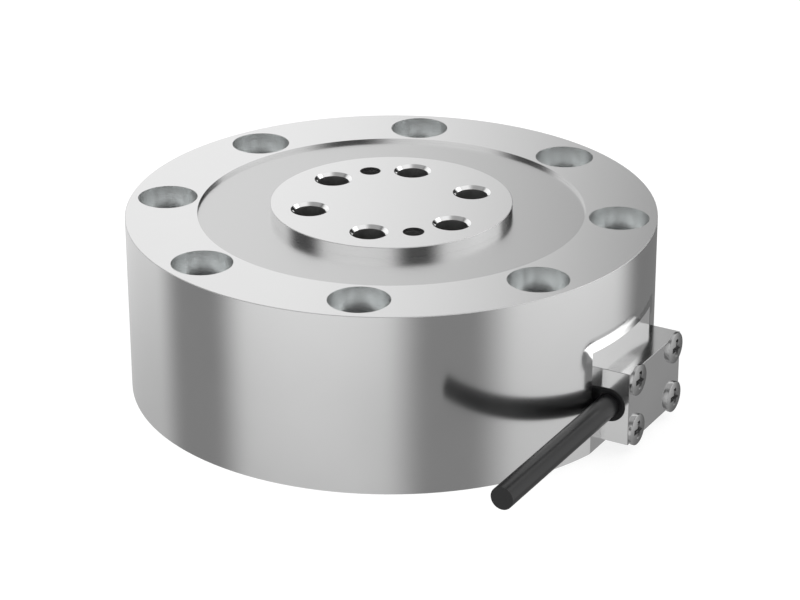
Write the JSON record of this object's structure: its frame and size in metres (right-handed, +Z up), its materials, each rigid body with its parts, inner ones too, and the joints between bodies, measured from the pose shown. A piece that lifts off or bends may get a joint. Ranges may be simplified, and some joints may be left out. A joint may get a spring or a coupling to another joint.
{
  "type": "force torque sensor",
  "caption": "Round metal force torque sensor with a counterbored outer ring, a raised tapped hub, and a side junction box with a short black cable.",
  "frame": {"origin": "centre of the ring screw pattern, on the underside", "axes": "+Z up the sensor's axis towards the hub, +X out through the junction box, the cable leaves along -Y"},
  "size_m": [0.1056, 0.101, 0.0358],
  "materials": {
    "body": "fine turned and satin, sharp broad reflections",
    "cover": "satin, faced",
    "cap": "milled bright",
    "gasket": "matte",
    "screw": "bright",
    "box_screw": "bright plated",
    "board": "green solder mask",
    "spacer": "turned",
    "header": "moulded",
    "plug": "moulded",
    "resistor": "chip",
    "gauge": "amber film with foil",
    "tab": "tinned",
    "lead": "thin insulated wire",
    "harness": "thin jacket",
    "grommet": "slightly glossy",
    "ferrule": "crimped",
    "jacket": "smooth satin black jacket"
  },
  "bodies": {
    "root": {"sensor_body": "body", "bottom_cover": "cover", "cover_gasket": "gasket", "cover_screws": "screw", "terminal_board": "board", "board_spacers": "spacer", "board_screws": "screw", "board_header": "header", "harness_plug": "plug", "bridge_resistors": "resistor", "side_gauges": "gauge", "lower_gauges": "gauge", "gauge_tabs": "tab", "gauge_leads": "lead", "inner_harness": "harness", "passage_bush": "grommet", "junction_cap": "cap", "box_screws": "box_screw", "junction_board": "board", "junction_board_screws": "screw", "cable_grommet": "grommet", "cable_ferrule": "ferrule", "cable": "jacket", "cable_cores": "lead"}
  },
  "joints": []
}
